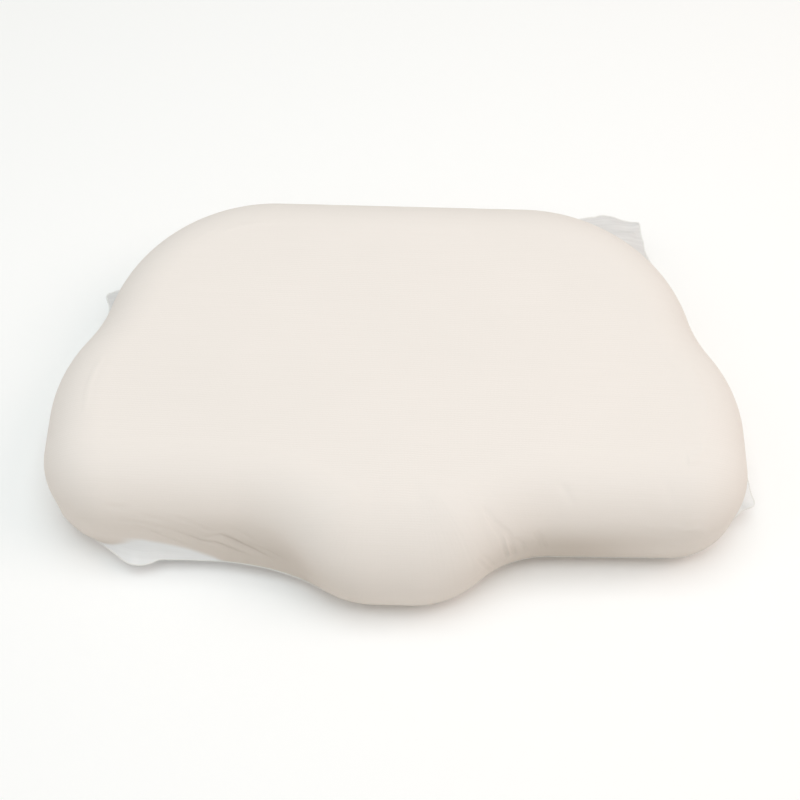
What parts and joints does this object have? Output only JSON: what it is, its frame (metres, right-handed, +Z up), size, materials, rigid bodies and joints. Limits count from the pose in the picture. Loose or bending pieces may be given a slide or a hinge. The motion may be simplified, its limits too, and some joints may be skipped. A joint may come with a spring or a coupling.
{
  "type": "contoured foam head cushion",
  "caption": "Butterfly-shaped contoured foam head cushion with wings and a neck lobe, in a thin zipped knit inner cover with loose corners.",
  "frame": {"origin": "on the underside, midway between the wings, at the middle of the rest face", "axes": "+X across the wings, +Y towards the straight back edge, +Z up"},
  "size_m": [0.6341, 0.4074, 0.1206],
  "materials": {
    "foam": "matte",
    "cover_knit": "matte",
    "seam_thread": "matte",
    "zip_tape": "matte",
    "zip_coil": "satin",
    "zip_stop": "satin",
    "zip_slider": "satin"
  },
  "bodies": {
    "cushion": {"foam_core": "foam", "cover_top_panel": "cover_knit", "cover_bottom_panel": "cover_knit", "overlock_seam": "seam_thread", "zip_tape_upper": "zip_tape", "zip_tape_lower": "zip_tape", "zip_coil_upper": "zip_coil", "zip_coil_lower": "zip_coil", "zip_top_stop_upper": "zip_stop", "zip_top_stop_lower": "zip_stop", "zip_bottom_stop": "zip_stop", "topstitch_upper": "seam_thread", "topstitch_lower": "seam_thread", "bar_tack_left": "seam_thread", "bar_tack_right": "seam_thread"},
    "slider": {"zip_slider": "zip_slider"},
    "pull_tab": {"zip_pull_tab": "zip_slider"}
  },
  "joints": [
    {"name": "zip_slide", "type": "slide", "parent": "cushion", "child": "slider", "axis": [-1, 0, 0], "range_m": [0, 0.208]},
    {"name": "pull_tab_hinge", "type": "hinge", "parent": "slider", "child": "pull_tab", "pos_m": [0.106, 0.21105, 0.05], "axis": [0, 0, -1], "range_deg": [0, 180]}
  ]
}
